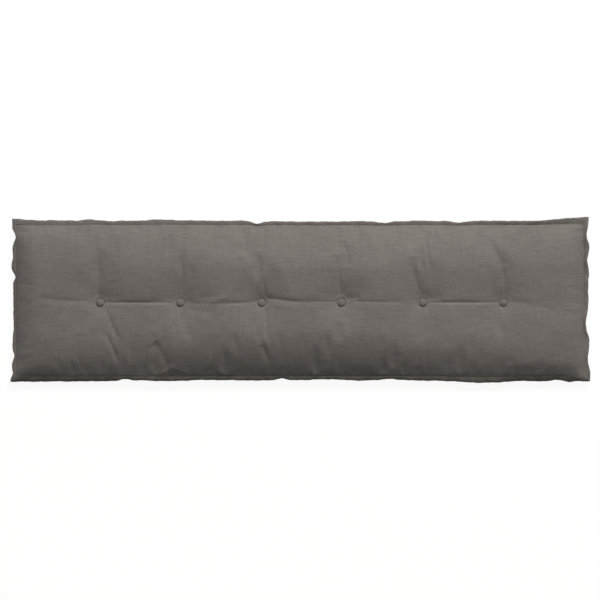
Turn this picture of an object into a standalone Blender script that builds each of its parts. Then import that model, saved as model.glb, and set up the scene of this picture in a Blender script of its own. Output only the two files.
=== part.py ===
"""Bench back cushion, 1.80 x 0.50 m, lying on its back with the buttoned face up.

Metres, +Z up. X runs along the cushion, +Y points to its upper long edge, and the origin is
in the middle of the underside. The cushion is one filled cover, a flat welt sewn into the seam
all round, and six covered buttons that tie the filling down in a row along the middle.
"""

import math

import bmesh
import bpy
import numpy as np

# Driving dimensions
LENGTH = 1.800             # over the welt
WIDTH = 0.500              # over the welt
HEIGHT = 0.081             # underside to the crest of the lobes, half way along, before the folds
END_HEIGHT = 0.064         # the same where the crest has come down, towards each end
CREST_REACH = 0.780        # the crest comes down within this distance of the middle
WELT_WIDTH = 0.0125        # seam to the folded edge of the strip
WELT_THICKNESS = 0.0040    # the strip is folded double over its own turnings
SEAM_HEIGHT = 0.028        # the seam runs just below half of the height
SEAM_WALL = 0.003          # front and back panels and their turnings, pressed together
GAP = 0.0003               # between pieces that touch
WELT_GAP = 0.00045         # at the seam, where the strip's corners shift a little as it ripples

BUTTON_RADIUS = 0.012
BUTTON_HEIGHT = 0.007
BUTTON_EDGE = 0.0015       # height of the button's widest ring over its flat base
BUTTON_STEPS = 20
BUTTON_ARC_STEPS = 5
TUFT_ROW = -0.0066         # the row lies just below the middle of the face
TUFT_PLACES = (-0.622, -0.372, -0.119, 0.129, 0.383, 0.634)
TUFT_FLOORS = (0.0470, 0.0560, 0.0600, 0.0600, 0.0540, 0.0470)   # the seat under each button
TUFT_FLAT = 0.020          # radius of that seat
TUFT_HALF_SEAT = 0.0135    # grid lines at this distance keep the seat flat as far as a button reaches
TUFT_FUNNEL = 0.034        # how fast the cover climbs out of a tuft
TUFT_OUTER_LINE = 0.031    # grid line on the funnel's slope
BACK_TUFT_DEPTH = 0.006    # the same stitches pull the back panel in a little
BACK_TUFT_RADIUS = 0.034

SIDE_ROLL = 0.145          # how far in from a long side the face rolls up to its crest
SIDE_SWING = 0.35          # share of that roll which is an S curve, and not a parabola
END_FALL = 0.022           # how fast the face comes down to the seam at a short end
BACK_ROLL = 0.085          # the back curves up to the seam within this distance of the seam
BACK_ROUND = 0.85          # below 1 gives the back a rounder edge at the seam
VALLEY_WIDTH = 0.034       # how fast the face climbs out of the valley through the buttons
VALLEY_CREASE = 0.004      # radius at the bottom of the valley

RIM_SHARE = 0.6            # part of the welt's ripples that the seam inside it follows
RIM_LIFT = 0.2             # the seam rises where it is drawn in
WELT_LIFT = 0.35           # the welt's outer edge rises more where it is pinched
WIDEST_CELL = 0.040        # between grid lines
CLOSEST_LINES = 0.009
EDGE_LINES = (0.008, 0.024, 0.050, 0.085, 0.125)   # distances in from the seam

# Depth of the valley below the crest, along the cushion: (x, depth)
VALLEY = (
    (-0.860, 0.0000),
    (-0.760, 0.0020),
    (-0.622, 0.0060),
    (-0.500, 0.0070),
    (-0.372, 0.0060),
    (-0.250, 0.0030),
    (-0.119, 0.0050),
    (0.000, 0.0035),
    (0.129, 0.0050),
    (0.250, 0.0025),
    (0.383, 0.0050),
    (0.510, 0.0055),
    (0.634, 0.0060),
    (0.740, 0.0030),
    (0.860, 0.0000),
)

# Ripples of the welt's outer edge, of which the first is the bow by which that side draws in:
# (place along the side, outward offset, half of its length)
UPPER_RIPPLES = (
    (0.000, -0.0024, 1.250),
    (-0.650, 0.0008, 0.380),
    (-0.900, 0.0056, 0.095),
    (-0.772, 0.0015, 0.035),
    (-0.659, 0.0040, 0.040),
    (-0.584, -0.0013, 0.030),
    (-0.430, 0.0045, 0.100),
    (-0.330, 0.0022, 0.055),
    (-0.260, 0.0012, 0.110),
    (-0.190, 0.0014, 0.060),
    (-0.134, -0.0077, 0.030),
    (-0.100, -0.0010, 0.030),
    (0.000, -0.0014, 0.050),
    (0.090, -0.0012, 0.080),
    (0.262, -0.0055, 0.045),
    (0.378, 0.0017, 0.045),
    (0.498, -0.0045, 0.045),
    (0.585, 0.0010, 0.040),
    (0.728, -0.0012, 0.020),
    (0.900, 0.0110, 0.185),
)
LOWER_RIPPLES = (
    (0.000, -0.0035, 1.250),
    (-0.900, 0.0032, 0.170),
    (-0.700, 0.0053, 0.330),
    (-0.590, 0.0010, 0.030),
    (-0.547, -0.0050, 0.030),
    (-0.405, 0.0052, 0.130),
    (-0.215, 0.0030, 0.170),
    (-0.115, 0.0030, 0.100),
    (-0.059, -0.0034, 0.030),
    (-0.028, 0.0012, 0.030),
    (0.010, 0.0028, 0.075),
    (0.190, 0.0042, 0.110),
    (0.280, -0.0020, 0.032),
    (0.320, 0.0022, 0.035),
    (0.390, 0.0042, 0.085),
    (0.465, 0.0009, 0.050),
    (0.570, 0.0100, 0.190),
    (0.715, 0.0022, 0.045),
    (0.757, 0.0050, 0.046),
    (0.841, 0.0062, 0.036),
    (0.886, 0.0042, 0.045),
)
LEFT_RIPPLES = (
    (0.000, -0.0038, 0.290),
    (-0.250, 0.0074, 0.026),
    (-0.225, -0.0020, 0.018),
    (-0.199, 0.0016, 0.026),
    (-0.172, -0.0058, 0.022),
    (-0.140, 0.0010, 0.030),
    (-0.078, -0.0014, 0.050),
    (0.025, 0.0010, 0.030),
    (0.073, -0.0070, 0.022),
    (0.106, 0.0054, 0.030),
    (0.196, -0.0094, 0.032),
)
RIGHT_RIPPLES = (
    (-0.235, 0.0075, 0.060),
    (-0.182, -0.0006, 0.024),
    (-0.132, 0.0045, 0.044),
    (-0.066, -0.0078, 0.042),
    (-0.097, -0.0024, 0.020),
    (0.000, 0.0012, 0.030),
    (0.084, 0.0034, 0.026),
    (0.122, -0.0036, 0.023),
    (0.163, 0.0036, 0.026),
    (0.203, -0.0050, 0.029),
    (0.250, 0.0032, 0.020),
)

# Main folds that run out from the tufts and in from the seam:
# (x and y of one end, x and y of the other, depth or minus a ridge's height, half of its width)
FOLDS = (
    (-0.600, -0.040, -0.562, -0.114, 0.004, 0.026),
    (-0.603, -0.105, -0.569, -0.186, 0.004, 0.022),
    (-0.625, -0.060, -0.590, -0.150, -0.002, 0.030),
    (-0.434, -0.136, -0.397, -0.189, 0.005, 0.028),
    (-0.441, -0.171, -0.356, -0.225, -0.002, 0.020),
    (-0.119, -0.142, -0.097, -0.186, 0.004, 0.022),
    (-0.106, -0.033, -0.094, -0.117, 0.003, 0.022),
    (-0.122, 0.040, -0.140, 0.170, 0.004, 0.030),
    (-0.160, 0.217, -0.163, 0.151, 0.003, 0.022),
    (-0.369, 0.020, -0.366, 0.120, 0.003, 0.030),
    (-0.625, 0.029, -0.625, 0.154, 0.003, 0.026),
    (0.131, 0.020, 0.122, 0.132, 0.004, 0.026),
    (0.388, 0.020, 0.356, 0.120, 0.004, 0.026),
    (0.416, 0.186, 0.416, 0.139, 0.004, 0.020),
    (0.638, 0.020, 0.622, 0.145, 0.004, 0.026),
    (0.622, 0.145, 0.594, 0.186, 0.003, 0.022),
    (0.625, -0.030, 0.625, -0.100, 0.003, 0.030),
    (-0.759, -0.199, -0.770, -0.160, 0.004, 0.026),
)

# Colours, linear
COVER_COLOUR = (0.156, 0.138, 0.127)
WELT_COLOUR = (0.148, 0.131, 0.120)
BUTTON_COLOUR = (0.163, 0.144, 0.133)
COVER_ROUGHNESS = 0.92

RIM_X = LENGTH / 2 - WELT_WIDTH
RIM_Y = WIDTH / 2 - WELT_WIDTH


def remove_all_objects():
    """Clear the scene without touching the file it runs from."""
    for old in list(bpy.data.objects):
        bpy.data.objects.remove(old, do_unlink=True)


def bell(t):
    """One at t = 0, falling smoothly to nothing at t = 1 and t = -1."""
    return np.where(np.abs(t) < 1.0, 0.5 + 0.5 * np.cos(np.pi * np.clip(t, -1.0, 1.0)), 0.0)


def side_rise(distance):
    """Climb from 0 at a long seam to 1 at the crest: a parabola mixed with a little of an S curve."""
    share = np.clip(distance / SIDE_ROLL, 0.0, 1.0)
    parabola = 1.0 - (1.0 - share) ** 2
    return parabola + SIDE_SWING * (np.sin(np.pi / 2 * share) ** 2 - parabola)


def end_rise(distance):
    """Climb from 0 at a short seam, steep at first, to very nearly 1 further in."""
    return 1.0 - np.exp(-distance / END_FALL)


def back_rise(distance):
    """Fall of the back from 1 at rest to 0 at the seam, round at the seam and level at the end."""
    left = 1.0 - np.clip(distance / BACK_ROLL, 0.0, 1.0)
    return (1.0 - left ** 2) ** BACK_ROUND


def crest(x):
    """Height of the crest of the lobes: highest half way along, lower towards the ends."""
    return END_HEIGHT + (HEIGHT - END_HEIGHT) * bell(x / CREST_REACH)


def ripple(rows, along):
    """Outward offset of a side at each place along it, summed over the rows of its table."""
    offset = np.zeros_like(along)
    for place, out, half_length in rows:
        offset += out * bell((along - place) / half_length)
    return offset


def side_offsets(u, v):
    """Outward offsets in x and y of the welt's edge beside each point (u, v) of the unit square."""
    along_x = u * LENGTH / 2
    along_y = v * WIDTH / 2
    out_x = np.where(u > 0, ripple(RIGHT_RIPPLES, along_y), ripple(LEFT_RIPPLES, along_y))
    out_y = np.where(v > 0, ripple(UPPER_RIPPLES, along_x), ripple(LOWER_RIPPLES, along_x))
    return out_x, out_y


def plan(u, v):
    """Place of each point of the unit square in the cushion's outline at the seam."""
    out_x, out_y = side_offsets(u, v)
    near_end = np.abs(u) ** 6
    near_side = np.abs(v) ** 4
    x = u * RIM_X + np.sign(u) * near_end * RIM_SHARE * out_x
    y = v * RIM_Y + np.sign(v) * near_side * RIM_SHARE * out_y
    return x, y


def rim_height(u, v, lift):
    """Height of the rim beside each point: it rises by a share of what its edge is drawn in."""
    out_x, out_y = side_offsets(u, v)
    return SEAM_HEIGHT - lift * (np.abs(u) ** 6 * out_x + np.abs(v) ** 4 * out_y)


def fold_depth(x, y):
    """Depth of the folds at each point: a bell across the line between each row's two ends."""
    depth = np.zeros_like(x)
    for x0, y0, x1, y1, deep, half_width in FOLDS:
        run_x = x1 - x0
        run_y = y1 - y0
        share = ((x - x0) * run_x + (y - y0) * run_y) / (run_x ** 2 + run_y ** 2)
        share = np.clip(share, 0.0, 1.0)
        away = np.hypot(x - x0 - share * run_x, y - y0 - share * run_y)
        depth += deep * bell(away / half_width)
    return depth


def tuft_distance(x, y):
    """Distance of each point from the nearest button's centre."""
    return np.min([np.hypot(x - place, y - TUFT_ROW) for place in TUFT_PLACES], axis=0)


def front_height(u, v, x, y):
    """Height of the front panel: a crown, less the valley and folds, tied down at the tufts."""
    in_x = RIM_X * (1.0 - np.abs(u))
    in_y = RIM_Y * (1.0 - np.abs(v))
    lift = end_rise(in_x) * side_rise(in_y)
    seam = rim_height(u, v, RIM_LIFT) + SEAM_WALL / 2
    across = np.hypot(y - TUFT_ROW, VALLEY_CREASE) - VALLEY_CREASE
    places, depths = zip(*VALLEY)
    valley = np.interp(x, places, depths) * np.exp(-across / VALLEY_WIDTH)
    height = seam + lift * (crest(x) - seam - valley - fold_depth(x, y))
    for place, floor in zip(TUFT_PLACES, TUFT_FLOORS):
        beyond_seat = np.clip(np.hypot(x - place, y - TUFT_ROW) - TUFT_FLAT, 0.0, None)
        height = height + np.exp(-beyond_seat / TUFT_FUNNEL) * (floor - height) * (lift > 0)
    return height


def back_height(u, v, x, y):
    """Height of the back panel: flat where it rests, pulled in at the tufts, rolled up to the seam."""
    in_x = RIM_X * (1.0 - np.abs(u))
    in_y = RIM_Y * (1.0 - np.abs(v))
    spread = back_rise(in_x) * back_rise(in_y)
    seam = rim_height(u, v, RIM_LIFT) - SEAM_WALL / 2
    return seam * (1.0 - spread) + BACK_TUFT_DEPTH * bell(tuft_distance(x, y) / BACK_TUFT_RADIUS)


def grid_lines(half, must, wished):
    """Sorted places of the grid lines across one direction, from -half to half.

    Every place in must is kept. A wished place is kept where no other line is too close, and
    cells that are still too wide are divided evenly.
    """
    lines = sorted([-half, half] + list(must))
    for place in wished:
        if abs(place) < half and min(abs(place - line) for line in lines) > CLOSEST_LINES:
            lines.append(place)
    lines.sort()
    filled = [lines[0]]
    for line in lines[1:]:
        parts = math.ceil((line - filled[-1]) / WIDEST_CELL)
        start = filled[-1]
        for part in range(1, parts + 1):
            filled.append(start + (line - start) * part / parts)
    return filled


def lines_along():
    """Grid lines across X: round each tuft, close together at the ends, and at the ripples."""
    must = []
    for place in TUFT_PLACES:
        for step in (-TUFT_OUTER_LINE, -TUFT_HALF_SEAT, 0.0, TUFT_HALF_SEAT, TUFT_OUTER_LINE):
            must.append(place + step)
    wished = [side * (RIM_X - distance) for side in (-1, 1) for distance in EDGE_LINES]
    inward = RIM_X / (LENGTH / 2)
    wished += [place * inward for place, out, half_length in UPPER_RIPPLES + LOWER_RIPPLES]
    return grid_lines(RIM_X, must, wished)


def lines_across():
    """Grid lines across Y: round the row of tufts, close together at the sides, and at the ripples."""
    must = []
    for step in (-TUFT_OUTER_LINE, -TUFT_HALF_SEAT, 0.0, TUFT_HALF_SEAT, TUFT_OUTER_LINE):
        must.append(TUFT_ROW + step)
    wished = [side * (RIM_Y - distance) for side in (-1, 1) for distance in EDGE_LINES]
    inward = RIM_Y / (WIDTH / 2)
    wished += [place * inward for place, out, half_length in LEFT_RIPPLES + RIGHT_RIPPLES]
    return grid_lines(RIM_Y, must, wished)


def cloth(name, colour):
    """A matt woven cloth in one plain colour."""
    material = bpy.data.materials.new(name)
    material.use_nodes = True
    shader = material.node_tree.nodes["Principled BSDF"]
    shader.inputs["Base Color"].default_value = (*colour, 1.0)
    shader.inputs["Roughness"].default_value = COVER_ROUGHNESS
    shader.inputs["Metallic"].default_value = 0.0
    return material


def add_object(name, mesh, material, collection):
    """Link a mesh as a named object with its material."""
    made = bpy.data.objects.new(name, mesh)
    mesh.materials.append(material)
    collection.objects.link(made)
    return made


def body_mesh():
    """The filled cover: a cube cut along the grid lines, each corner then put in its place."""
    shape = bmesh.new()
    bmesh.ops.create_cube(shape, size=2.0)
    for axis, half, lines in ((0, RIM_X, lines_along()), (1, RIM_Y, lines_across())):
        for line in lines[1:-1]:
            point = [0.0, 0.0, 0.0]
            normal = [0.0, 0.0, 0.0]
            point[axis] = line / half
            normal[axis] = 1.0
            everything = shape.verts[:] + shape.edges[:] + shape.faces[:]
            bmesh.ops.bisect_plane(shape, geom=everything, plane_co=point, plane_no=normal)
    corners = np.array([vert.co for vert in shape.verts], dtype=float)
    u = corners[:, 0]
    v = corners[:, 1]
    x, y = plan(u, v)
    z = np.where(corners[:, 2] > 0, front_height(u, v, x, y), back_height(u, v, x, y))
    for vert, spot in zip(shape.verts, np.column_stack((x, y, z))):
        vert.co = spot
    mesh = bpy.data.meshes.new("cushion_body")
    shape.to_mesh(mesh)
    shape.free()
    mesh.shade_smooth()
    return mesh


def seam_stations():
    """The body's rim as (u, v) pairs, once round anticlockwise, back to the start."""
    along = [line / RIM_X for line in lines_along()]
    across = [line / RIM_Y for line in lines_across()]
    round_trip = [(u, -1.0) for u in along]
    round_trip += [(1.0, v) for v in across[1:]]
    round_trip += [(u, 1.0) for u in reversed(along[:-1])]
    round_trip += [(-1.0, v) for v in reversed(across[:-1])]
    return np.array(round_trip)


def welt_mesh():
    """The strip round the seam: a long grid whose ends are brought round to meet and welded."""
    stations = seam_stations()
    count = len(stations) - 1
    shape = bmesh.new()
    bmesh.ops.create_grid(shape, x_segments=count, y_segments=1, size=1.0)
    corners = np.array([vert.co for vert in shape.verts], dtype=float)
    station = np.rint((corners[:, 0] + 1.0) / 2.0 * count).astype(int)
    outer = corners[:, 1] < 0
    u, v = stations[station].T
    on_end = np.abs(u) == 1.0
    on_side = np.abs(v) == 1.0
    seam_x, seam_y = plan(u, v)
    out_x, out_y = side_offsets(u, v)
    corner_x, corner_y = side_offsets(np.sign(u), np.sign(v))
    outer_x = u * LENGTH / 2 + np.sign(u) * np.where(on_end, out_x, corner_x * np.abs(u) ** 6)
    outer_y = v * WIDTH / 2 + np.sign(v) * np.where(on_side, out_y, corner_y * np.abs(v) ** 4)
    inner_z = rim_height(u, v, RIM_LIFT)
    outer_z = rim_height(u, v, WELT_LIFT)
    slope = np.abs(outer_z - inner_z) / WELT_WIDTH
    clear = WELT_GAP + WELT_THICKNESS * slope
    inner_x = seam_x + np.sign(u) * clear * on_end
    inner_y = seam_y + np.sign(v) * clear * on_side
    x = np.where(outer, outer_x, inner_x)
    y = np.where(outer, outer_y, inner_y)
    z = np.where(outer, outer_z, inner_z)
    for vert, spot in zip(shape.verts, np.column_stack((x, y, z))):
        vert.co = spot
    bmesh.ops.remove_doubles(shape, verts=shape.verts[:], dist=0.00001)
    bmesh.ops.recalc_face_normals(shape, faces=shape.faces[:])
    mesh = bpy.data.meshes.new("welt")
    shape.to_mesh(mesh)
    shape.free()
    return mesh


def button_mesh():
    """Half of a button's section, from the top of the dome down its outer side to the base."""
    profile = []
    for step in range(BUTTON_ARC_STEPS + 1):
        angle = math.pi / 2 * step / BUTTON_ARC_STEPS
        height = BUTTON_EDGE + (BUTTON_HEIGHT - BUTTON_EDGE) * math.cos(angle)
        profile.append((BUTTON_RADIUS * math.sin(angle), 0.0, height))
    profile.append((BUTTON_RADIUS - BUTTON_EDGE, 0.0, 0.0))
    profile.append((0.0, 0.0, 0.0))
    edges = [(k, k + 1) for k in range(len(profile) - 1)]
    mesh = bpy.data.meshes.new("button")
    mesh.from_pydata(profile, edges, [])
    return mesh


def add_buttons(material, collection):
    """Six turned domes, each seated on the floor of its tuft."""
    for number, (place, floor) in enumerate(zip(TUFT_PLACES, TUFT_FLOORS), start=1):
        button = add_object(f"button_{number}", button_mesh(), material, collection)
        button.location = (place, TUFT_ROW, floor + GAP)
        turn = button.modifiers.new("turned", "SCREW")
        turn.axis = "Z"
        turn.steps = BUTTON_STEPS
        turn.render_steps = BUTTON_STEPS
        turn.use_merge_vertices = True
        turn.merge_threshold = 0.0001
        turn.use_smooth_shade = True


def main():
    """Build the cushion in a collection of its own."""
    remove_all_objects()
    collection = bpy.data.collections.new("back_cushion")
    bpy.context.scene.collection.children.link(collection)

    add_object("cushion_body", body_mesh(), cloth("cover_cloth", COVER_COLOUR), collection)

    welt = add_object("welt", welt_mesh(), cloth("welt_cloth", WELT_COLOUR), collection)
    fold = welt.modifiers.new("folded_double", "SOLIDIFY")
    fold.thickness = WELT_THICKNESS
    fold.offset = 0.0

    add_buttons(cloth("button_cloth", BUTTON_COLOUR), collection)


main()
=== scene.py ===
"""A long back cushion for a bench, lying on its back with the buttoned face up.

Metres, +Z up, X along the cushion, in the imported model's own frame.
"""

import math

import bpy
import numpy as np
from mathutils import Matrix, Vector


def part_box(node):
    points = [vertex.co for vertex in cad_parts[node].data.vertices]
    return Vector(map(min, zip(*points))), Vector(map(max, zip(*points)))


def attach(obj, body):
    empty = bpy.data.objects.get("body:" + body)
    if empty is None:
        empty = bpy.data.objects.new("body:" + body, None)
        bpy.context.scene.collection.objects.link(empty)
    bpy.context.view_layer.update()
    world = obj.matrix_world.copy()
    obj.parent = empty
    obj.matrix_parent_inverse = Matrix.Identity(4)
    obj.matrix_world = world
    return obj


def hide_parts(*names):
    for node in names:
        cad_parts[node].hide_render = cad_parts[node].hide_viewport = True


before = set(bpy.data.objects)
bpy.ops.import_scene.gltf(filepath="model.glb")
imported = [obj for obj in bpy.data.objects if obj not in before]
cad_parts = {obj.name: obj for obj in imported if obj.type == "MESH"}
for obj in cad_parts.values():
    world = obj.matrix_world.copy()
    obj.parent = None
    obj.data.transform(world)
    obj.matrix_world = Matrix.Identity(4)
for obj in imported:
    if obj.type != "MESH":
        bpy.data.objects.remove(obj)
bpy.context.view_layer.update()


# ---------------------------------------------------------------------------------------------
# The filled cover. Two panels of woven polyester with a linen look, sewn together at a seam all
# round, filled with loose fibre and tied down by six threads. The face is two soft lobes with a
# valley through the tufts, and folds run out from each tuft to where the cloth is slack.

button_names = [f"button_{number}" for number in range(1, 7)]
button_boxes = [np.array(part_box(name)) for name in button_names]
tuft_x = np.array([(low[0] + high[0]) / 2 for low, high in button_boxes])
tuft_y = float(np.mean([(low[1] + high[1]) / 2 for low, high in button_boxes]))
button_foot = np.array([low[2] for low, high in button_boxes])

HALF_LENGTH = 0.900            # over the welt
HALF_WIDTH = 0.250
WELT_WIDTH = 0.0125
RIM_X = HALF_LENGTH - WELT_WIDTH
RIM_Y = HALF_WIDTH - WELT_WIDTH
CREST = 0.079                  # half way along; the lobes come down towards the ends
CREST_AT_ENDS = 0.061
CREST_REACH = 0.780
SEAM_HEIGHT = 0.028

# Ripples of the welt's outer edge, of which the first is the bow by which that side draws in:
# (place along the side, outward offset, half of its length)
UPPER_RIPPLES = (
    (0.000, -0.0024, 1.250),
    (-0.650, 0.0008, 0.380),
    (-0.900, 0.0056, 0.095),
    (-0.772, 0.0015, 0.035),
    (-0.659, 0.0040, 0.040),
    (-0.584, -0.0013, 0.030),
    (-0.430, 0.0045, 0.100),
    (-0.330, 0.0022, 0.055),
    (-0.260, 0.0012, 0.110),
    (-0.190, 0.0014, 0.060),
    (-0.134, -0.0077, 0.030),
    (-0.100, -0.0010, 0.030),
    (0.000, -0.0014, 0.050),
    (0.090, -0.0012, 0.080),
    (0.262, -0.0055, 0.045),
    (0.378, 0.0017, 0.045),
    (0.498, -0.0045, 0.045),
    (0.585, 0.0010, 0.040),
    (0.728, -0.0012, 0.020),
    (0.900, 0.0110, 0.185),
)
LOWER_RIPPLES = (
    (0.000, -0.0035, 1.250),
    (-0.900, 0.0032, 0.170),
    (-0.700, 0.0053, 0.330),
    (-0.590, 0.0010, 0.030),
    (-0.547, -0.0050, 0.030),
    (-0.405, 0.0052, 0.130),
    (-0.215, 0.0030, 0.170),
    (-0.115, 0.0030, 0.100),
    (-0.059, -0.0034, 0.030),
    (-0.028, 0.0012, 0.030),
    (0.010, 0.0028, 0.075),
    (0.190, 0.0042, 0.110),
    (0.280, -0.0020, 0.032),
    (0.320, 0.0022, 0.035),
    (0.390, 0.0042, 0.085),
    (0.465, 0.0009, 0.050),
    (0.570, 0.0100, 0.190),
    (0.715, 0.0022, 0.045),
    (0.757, 0.0050, 0.046),
    (0.841, 0.0062, 0.036),
    (0.886, 0.0042, 0.045),
)
LEFT_RIPPLES = (
    (0.000, -0.0038, 0.290),
    (-0.250, 0.0074, 0.026),
    (-0.225, -0.0020, 0.018),
    (-0.199, 0.0016, 0.026),
    (-0.172, -0.0058, 0.022),
    (-0.140, 0.0010, 0.030),
    (-0.078, -0.0014, 0.050),
    (0.025, 0.0010, 0.030),
    (0.073, -0.0070, 0.022),
    (0.106, 0.0054, 0.030),
    (0.196, -0.0094, 0.032),
)
RIGHT_RIPPLES = (
    (-0.235, 0.0075, 0.060),
    (-0.182, -0.0006, 0.024),
    (-0.132, 0.0045, 0.044),
    (-0.066, -0.0078, 0.042),
    (-0.097, -0.0024, 0.020),
    (0.000, 0.0012, 0.030),
    (0.084, 0.0034, 0.026),
    (0.122, -0.0036, 0.023),
    (0.163, 0.0036, 0.026),
    (0.203, -0.0050, 0.029),
    (0.250, 0.0032, 0.020),
)
SIDE_SHARE = 0.3               # part of the ripples that the seam follows
END_SHARE = 0.15
SIDE_FADE, END_FADE = 4, 6     # powers by which the ripples die away inwards from a side or an end
RIM_LIFT = 0.2                 # the seam rises where it is drawn in


def bell(t):
    """One at t = 0, falling as half a cosine to nothing at t = 1 and t = -1."""
    return 0.5 + 0.5 * np.cos(np.pi * np.clip(t, -1.0, 1.0))


def ripple(rows, along):
    """The sum of the rows' bells at each place along a side."""
    return sum(out * bell((along - place) / half) for place, out, half in rows)


def side_offsets(u, v):
    """Outward offset of the right or left end, and of the upper or lower side, beside (u, v)."""
    along_x, along_y = u * HALF_LENGTH, v * HALF_WIDTH
    out_x = np.where(u > 0, ripple(RIGHT_RIPPLES, along_y), ripple(LEFT_RIPPLES, along_y))
    out_y = np.where(v > 0, ripple(UPPER_RIPPLES, along_x), ripple(LOWER_RIPPLES, along_x))
    return out_x, out_y


def plan(u, v):
    """The seam's outline: a rectangle whose edges follow part of the ripples, fading inwards."""
    out_x, out_y = side_offsets(u, v)
    x = u * RIM_X + np.sign(u) * np.abs(u) ** END_FADE * END_SHARE * out_x
    y = v * RIM_Y + np.sign(v) * np.abs(v) ** SIDE_FADE * SIDE_SHARE * out_y
    return x, y


def rim_height(u, v, lift):
    """The rim lies level, but rises by a share, the lift, of what its edge is drawn in there."""
    out_x, out_y = side_offsets(u, v)
    return SEAM_HEIGHT - lift * (np.abs(u) ** END_FADE * out_x + np.abs(v) ** SIDE_FADE * out_y)


SIDE_ROLL = 0.138
ROLL_POWERS = (1.50, 2.00)     # half way along and at the ends, where the roll is rounder
ROLL_START = 0.0035            # the stiff seam holds the cloth level this far
END_FALL = 0.030
BACK_ROLL = 0.085
LIPS = (0.0015, 0.0035), (0.0060, 0.0160)   # (height, reach) at the upper seam, and at the lower


def side_rise(distance, x):
    """From 0 at a long seam to 1 at the crest: one less a power of the share that is left to go.

    The distance starts late, by s * (1 - exp(-distance / s)), so the climb is smooth at the seam.
    """
    power = ROLL_POWERS[1] + (ROLL_POWERS[0] - ROLL_POWERS[1]) * bell(x / CREST_REACH)
    gone = distance - ROLL_START * (1.0 - np.exp(-distance / ROLL_START))
    return 1.0 - (1.0 - np.clip(gone / SIDE_ROLL, 0.0, 1.0)) ** power


def end_rise(distance):
    """From 0 at a short seam towards 1, as one less an exponential."""
    return 1.0 - np.exp(-distance / END_FALL)


def crest(x):
    """Height of the lobes' crest along the cushion: a bell on top of its height at the ends."""
    return CREST_AT_ENDS + (CREST - CREST_AT_ENDS) * bell(x / CREST_REACH)


# Depth of the valley below the crest, along the cushion: (x, depth)
VALLEY = (
    (-0.860, 0.0000),
    (-0.760, 0.0020),
    (-0.622, 0.0060),
    (-0.500, 0.0070),
    (-0.372, 0.0060),
    (-0.250, 0.0030),
    (-0.119, 0.0050),
    (0.000, 0.0035),
    (0.129, 0.0050),
    (0.250, 0.0025),
    (0.383, 0.0050),
    (0.510, 0.0055),
    (0.634, 0.0060),
    (0.740, 0.0030),
    (0.860, 0.0000),
)
VALLEY_WIDTH = 0.034
VALLEY_ROUND = 0.006


def valley_depth(x, y):
    """A trough along the row of tufts, whose sides fall away exponentially from its middle."""
    places, depths = zip(*VALLEY)
    across = np.hypot(y - tuft_y, VALLEY_ROUND) - VALLEY_ROUND
    return np.interp(x, places, depths) * np.exp(-across / VALLEY_WIDTH)


TUFT_SEAT = 0.0122             # just wider than the button, whose base lies on it
SEAT_GAP = 0.0003
POCKET_WALL = 0.0016           # the cloth stands up along the button's edge, so it sits sunk
POCKET_TILT = 0.0012           # and by this much more on the lower side than at its ends
POCKET_WIDTH = 0.0010
TUFT_FUNNEL = 0.031
TUFT_GATHERS = ((5, 0.5, 0.3), (8, 0.6, 1.9), (13, 0.4, 4.0))   # (number round it, share, phase)
GATHER_HEIGHT = 0.0003
GATHER_REACH = 0.012
GATHER_END = 0.1               # they are too faint to count from here on
GATHER_TURN = 9.0              # radians a metre along the row, so that no two tufts are alike


def tuft_distance(x, y):
    """Distance of each point from the nearest tuft's centre."""
    return np.min([np.hypot(x - place, y - tuft_y) for place in tuft_x], axis=0)


def face_height(u, v, x, y):
    """The face before its folds: the crown less the valley, drawn down at each tuft.

    Out from a tuft's seat a low wall climbs as a smooth step. The height goes over from it to the
    crown as an exponential, with small gathers that fan out and die away. The lip by which the
    cloth stands up along a long seam is a quarter ellipse.
    """
    in_x = RIM_X * (1.0 - np.abs(u))
    in_y = RIM_Y * (1.0 - np.abs(v))
    rolled = side_rise(in_y, x)
    lift = end_rise(in_x) * rolled
    seam = rim_height(u, v, RIM_LIFT)
    height = seam + lift * (crest(x) - seam - valley_depth(x, y))
    high, reach = (np.where(v > 0.0, *pair) for pair in zip(*LIPS))
    lip = high * np.sqrt(1.0 - (1.0 - np.clip(in_y / reach, 0.0, 1.0)) ** 2)
    height = height + lip * (1.0 - rolled) * end_rise(in_x)
    for place, foot in zip(tuft_x, button_foot):
        turn = np.arctan2(y - tuft_y, x - place)
        beyond = np.clip(np.hypot(x - place, y - tuft_y) - TUFT_SEAT, 0.0, None)
        wall = (POCKET_WALL - POCKET_TILT * np.sin(turn)) * (1.0 - bell(beyond / POCKET_WIDTH))
        floor = foot - SEAT_GAP + wall
        height = height + np.exp(-beyond / TUFT_FUNNEL) * (floor - height) * (lift > 0)
        turn = turn + place * GATHER_TURN
        fan = sum(share * np.cos(number * turn + phase) for number, share, phase in TUFT_GATHERS)
        fading = beyond / GATHER_REACH * np.exp(1.0 - beyond / GATHER_REACH)
        height = height + GATHER_HEIGHT * fan * fading * (beyond < GATHER_END)
    return height


BACK_FULLNESS = 0.85           # below one, so that the flat reaches further out
BACK_TUFT_DEPTH = 0.006
BACK_TUFT_RADIUS = 0.034


def back_height(u, v, x, y):
    """The back: flat where it rests, drawn in a little at the tufts, rolled up to the seam.

    The height is the rim's times one less a power of the two rolls' product. Each roll is one less
    the square of the share left to go. A bell is added at each tuft.
    """
    in_x = RIM_X * (1.0 - np.abs(u))
    in_y = RIM_Y * (1.0 - np.abs(v))
    roll_x = np.clip(in_x / BACK_ROLL, 0.0, 1.0)
    roll_y = np.clip(in_y / BACK_ROLL, 0.0, 1.0)
    spread = ((1.0 - (1.0 - roll_x) ** 2) * (1.0 - (1.0 - roll_y) ** 2)) ** BACK_FULLNESS
    drawn = BACK_TUFT_DEPTH * bell(tuft_distance(x, y) / BACK_TUFT_RADIUS)
    return rim_height(u, v, RIM_LIFT) * (1.0 - spread) + drawn


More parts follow.
